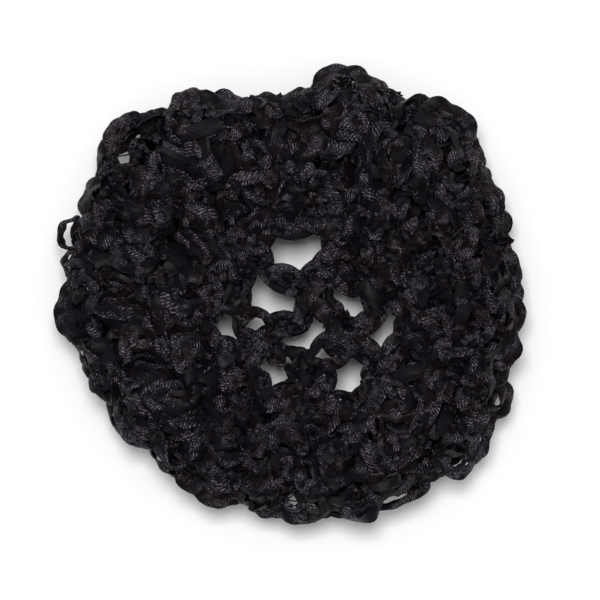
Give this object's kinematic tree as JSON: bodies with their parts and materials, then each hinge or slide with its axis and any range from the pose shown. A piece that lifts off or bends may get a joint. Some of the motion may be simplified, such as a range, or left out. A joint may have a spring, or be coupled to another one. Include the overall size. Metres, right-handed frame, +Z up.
{
  "type": "crochet hair snood",
  "caption": "Bun cover crocheted in rounds from narrow black satin ribbon, with an open net crown, puffed sides and an elastic that gathers the mouth",
  "frame": {"origin": "middle of the footprint, on the surface that the snood lies on, mouth down", "axes": "+Z up through the crown, +X to the right and +Y to the top of the picture"},
  "size_m": [0.0938, 0.0916, 0.022],
  "materials": {
    "satin_ribbon": "black satin-woven polyester ribbon with fine ribs across it, softly shining",
    "elastic": "black elastic cord in a matt woven cover"
  },
  "bodies": {
    "root": {"crown_net": "satin_ribbon", "round_1": "satin_ribbon", "round_2": "satin_ribbon", "round_3": "satin_ribbon", "round_4": "satin_ribbon", "edging_round": "satin_ribbon", "elastic_ring": "elastic"}
  },
  "joints": []
}
